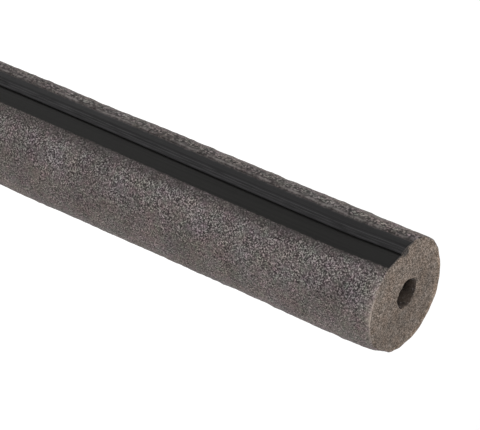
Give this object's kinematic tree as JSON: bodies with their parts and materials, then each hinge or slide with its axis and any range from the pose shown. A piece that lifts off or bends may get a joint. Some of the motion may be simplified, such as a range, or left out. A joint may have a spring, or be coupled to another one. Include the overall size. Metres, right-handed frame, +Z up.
{
  "type": "pipe insulation lagging",
  "caption": "Slit foam tube that is clipped round a heating pipe to keep its heat in, with a press-shut plastic closure down the slit.",
  "frame": {"origin": "Foot of the tube's axis, on the surface that it stands on. The axis is that of the outer skin.", "axes": "+Z up along the tube. -Y out through the middle of the closure. +X towards the catch strip's outer edge."},
  "size_m": [0.067, 0.0657, 1],
  "materials": {
    "foam": "grey-brown closed-cell polyethylene foam, matte, with a fine cellular grain",
    "closure_plastic": "black extruded polyethylene, smooth, with a soft sheen"
  },
  "bodies": {
    "root": {"foam_tube": "foam", "catch_strip": "closure_plastic", "lock_strip": "closure_plastic"}
  },
  "joints": []
}
